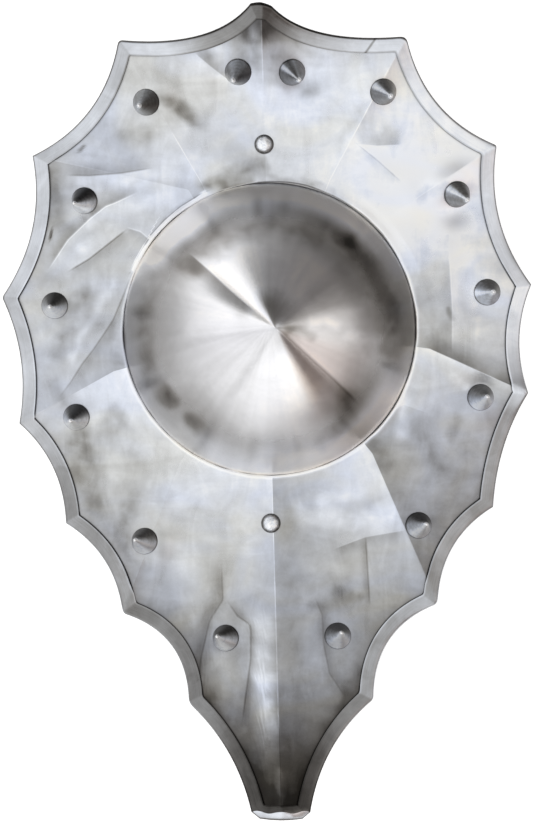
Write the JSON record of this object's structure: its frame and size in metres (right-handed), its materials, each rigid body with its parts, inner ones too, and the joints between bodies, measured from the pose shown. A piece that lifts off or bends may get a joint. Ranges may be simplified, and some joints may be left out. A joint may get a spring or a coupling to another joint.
{
  "type": "spiked steel buckler",
  "caption": "Long scalloped steel buckler with a peaked hollow boss, cone spikes, a folded edging strip and a plain grip bar across the back.",
  "frame": {"origin": "centre of the whole shield seen from above, on the floor that it lies on", "axes": "+Z out of the front of the shield, +Y towards its wide top end, +X to the right as seen from the front"},
  "size_m": [0.366, 0.5532, 0.0902],
  "materials": {
    "plate_steel": "hand-hammered, linished and buffed bare steel with cloudy streaks",
    "rim_steel": "folded sheet steel, ground along its length",
    "boss_steel": "spun bare steel, satin with radial streaks",
    "spike_steel": "turned bare steel, semi-bright",
    "rivet_steel": "hammered dome, bare steel",
    "grip_steel": "dull bare bar steel, edges broken"
  },
  "bodies": {
    "root": {"plate": "plate_steel", "rim_binding": "rim_steel", "boss": "boss_steel", "grip": "grip_steel", "rivet_top": "rivet_steel", "rivet_bottom": "rivet_steel", "spike_01": "spike_steel", "spike_02": "spike_steel", "spike_03": "spike_steel", "spike_04": "spike_steel", "spike_05": "spike_steel", "spike_06": "spike_steel", "spike_07": "spike_steel", "spike_08": "spike_steel", "spike_09": "spike_steel", "spike_10": "spike_steel", "spike_11": "spike_steel", "spike_12": "spike_steel", "spike_13": "spike_steel", "spike_14": "spike_steel"}
  },
  "joints": []
}
